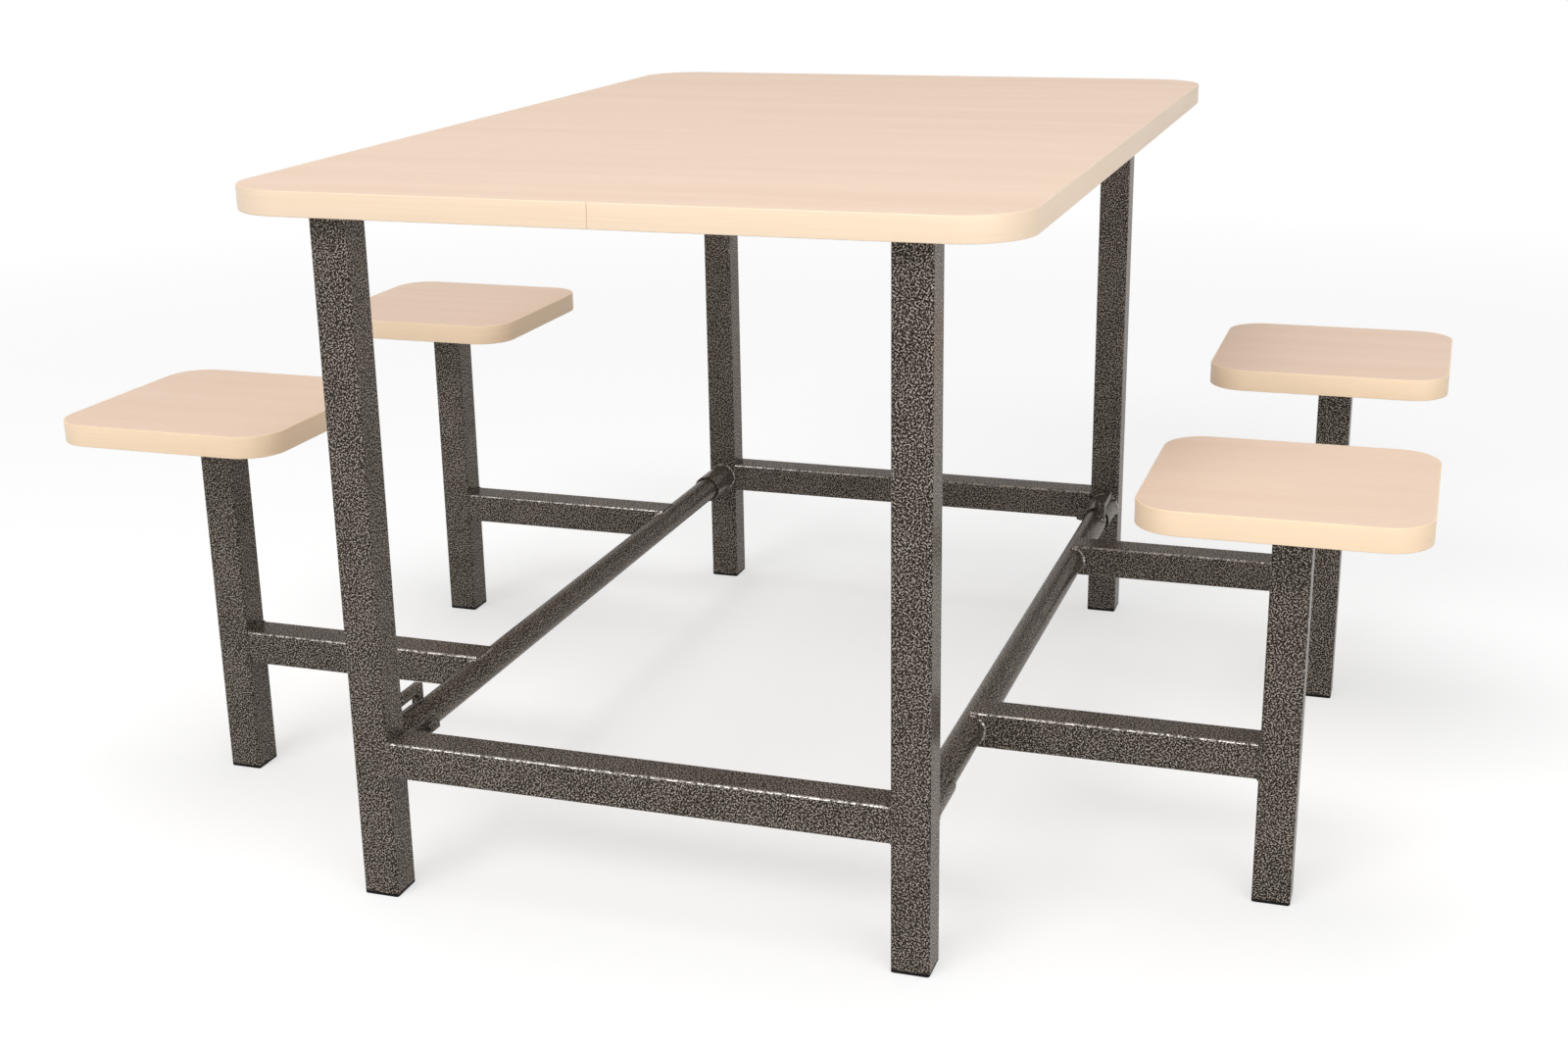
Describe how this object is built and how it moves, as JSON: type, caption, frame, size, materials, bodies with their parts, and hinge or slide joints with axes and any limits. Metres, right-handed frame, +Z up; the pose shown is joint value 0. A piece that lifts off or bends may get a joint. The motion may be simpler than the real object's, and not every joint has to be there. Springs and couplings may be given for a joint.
{
  "type": "dining table with tip-up seats",
  "caption": "Rectangular laminate dining table on square-tube end frames, with pairs of square seats on posts that tip up under the top on round pivot bars.",
  "frame": {"origin": "on the floor, midway between the legs", "axes": "+X across the table from one pair of seats to the other, +Y along the long side of the top, +Z up"},
  "size_m": [1.504, 1.2, 0.76],
  "materials": {
    "laminate": "pale beech laminate, satin, faint grain",
    "edge_band": "cream wood-effect edge strip, satin",
    "hammertone_paint": "dark bronze hammertone powder coat with a lighter network",
    "foot_plastic": "black moulded plastic",
    "screw_steel": "bright zinc"
  },
  "bodies": {
    "table": {"front_cross_rail": "hammertone_paint", "front_left_leg": "hammertone_paint", "front_left_leg_cap": "foot_plastic", "front_left_leg_plate": "hammertone_paint", "front_left_pivot_sleeve": "hammertone_paint", "front_left_stop_block": "hammertone_paint", "front_right_leg": "hammertone_paint", "front_right_leg_cap": "foot_plastic", "front_right_leg_plate": "hammertone_paint", "front_right_pivot_sleeve": "hammertone_paint", "rear_cross_rail": "hammertone_paint", "rear_left_leg": "hammertone_paint", "rear_left_leg_cap": "foot_plastic", "rear_left_leg_plate": "hammertone_paint", "rear_left_pivot_sleeve": "hammertone_paint", "rear_right_leg": "hammertone_paint", "rear_right_leg_cap": "foot_plastic", "rear_right_leg_plate": "hammertone_paint", "rear_right_pivot_sleeve": "hammertone_paint", "rear_right_stop_block": "hammertone_paint", "table_top_board": "laminate", "table_top_edge_band": "edge_band", "table_top_screws": "screw_steel"},
    "left_seats": {"front_left_post_cap": "foot_plastic", "front_left_seat_arm": "hammertone_paint", "front_left_seat_board": "laminate", "front_left_seat_edge_band": "edge_band", "front_left_seat_plate": "hammertone_paint", "front_left_seat_post": "hammertone_paint", "left_pivot_bar": "hammertone_paint", "left_seat_screws": "screw_steel", "left_stop_finger": "hammertone_paint", "rear_left_post_cap": "foot_plastic", "rear_left_seat_arm": "hammertone_paint", "rear_left_seat_board": "laminate", "rear_left_seat_edge_band": "edge_band", "rear_left_seat_plate": "hammertone_paint", "rear_left_seat_post": "hammertone_paint"},
    "right_seats": {"front_right_post_cap": "foot_plastic", "front_right_seat_arm": "hammertone_paint", "front_right_seat_board": "laminate", "front_right_seat_edge_band": "edge_band", "front_right_seat_plate": "hammertone_paint", "front_right_seat_post": "hammertone_paint", "rear_right_post_cap": "foot_plastic", "rear_right_seat_arm": "hammertone_paint", "rear_right_seat_board": "laminate", "rear_right_seat_edge_band": "edge_band", "rear_right_seat_plate": "hammertone_paint", "rear_right_seat_post": "hammertone_paint", "right_pivot_bar": "hammertone_paint", "right_seat_screws": "screw_steel", "right_stop_finger": "hammertone_paint"}
  },
  "joints": [
    {"name": "left_seats_fold", "type": "hinge", "parent": "table", "child": "left_seats", "pos_m": [-0.293, 0, 0.16], "axis": [0, 1, 0], "range_deg": [0, 80]},
    {"name": "right_seats_fold", "type": "hinge", "parent": "table", "child": "right_seats", "pos_m": [0.293, 0, 0.16], "axis": [0, -1, 0], "range_deg": [0, 80]}
  ]
}
